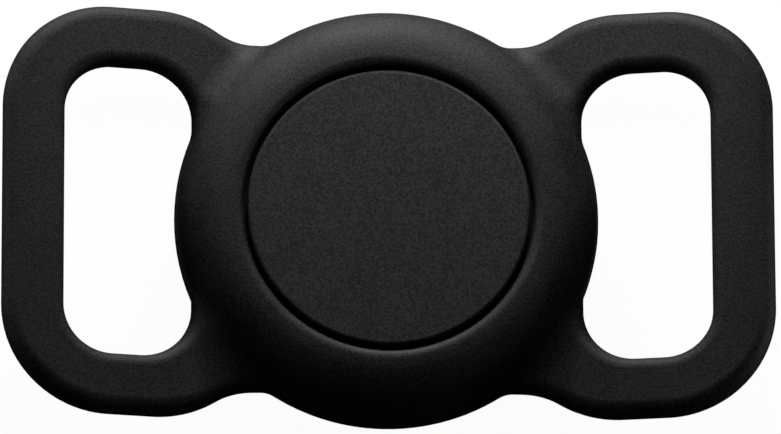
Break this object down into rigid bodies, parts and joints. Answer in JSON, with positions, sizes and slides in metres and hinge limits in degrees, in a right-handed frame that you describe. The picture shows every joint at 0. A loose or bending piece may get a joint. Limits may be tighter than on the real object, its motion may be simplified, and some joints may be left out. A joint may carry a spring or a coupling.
{
  "type": "tracker tag holder",
  "caption": "Soft silicone ring with a strap loop on each side, holding a round flat-faced tracker tag that pushes out; the tag has a coin cell, board, sounder and twist-off rear cover.",
  "frame": {"origin": "on the tag's axis, in the plane of the holder's flat back", "axes": "+Z out of the tag's face, +X along the strap from loop to loop, +Y across the strap"},
  "size_m": [0.0754, 0.0416, 0.0107],
  "materials": {
    "silicone": "matt moulded silicone",
    "shell_plastic": "fine spark-eroded texture",
    "frame_plastic": "moulded, satin",
    "cover_steel": "circular brushed",
    "seal_rubber": "moulded",
    "pad_foam": "closed-cell foam",
    "cell_steel": "nickel plated",
    "gasket_plastic": "moulded",
    "contact_metal": "plated spring strip",
    "board_laminate": "solder mask",
    "chip_resin": "moulded resin",
    "crystal_can": "plated lid",
    "capacitor_ceramic": "fired",
    "antenna_ceramic": "fired",
    "buzzer_brass": "rolled"
  },
  "bodies": {
    "holder": {"holder_body": "silicone"},
    "tag": {"tag_shell": "shell_plastic", "tag_frame": "frame_plastic", "cell_can": "cell_steel", "cell_gasket": "gasket_plastic", "cell_cap": "cell_steel", "positive_contact": "contact_metal", "negative_contact": "contact_metal", "circuit_board": "board_laminate", "radio_chip": "chip_resin", "motion_sensor": "chip_resin", "memory_chip": "chip_resin", "crystal": "crystal_can", "board_capacitors": "capacitor_ceramic", "chip_antenna": "antenna_ceramic", "buzzer_plate": "buzzer_brass", "buzzer_ceramic": "antenna_ceramic", "buzzer_springs": "contact_metal"},
    "cover": {"battery_cover": "cover_steel", "cover_seal": "seal_rubber", "cover_pad": "pad_foam"}
  },
  "joints": [
    {"name": "tag_lift", "type": "slide", "parent": "holder", "child": "tag", "axis": [0, 0, 1], "range_m": [0, 0.014]},
    {"name": "cover_turn", "type": "hinge", "parent": "tag", "child": "cover", "pos_m": [0, 0, 0.0022], "axis": [0, 0, -1], "range_deg": [0, 40]}
  ]
}
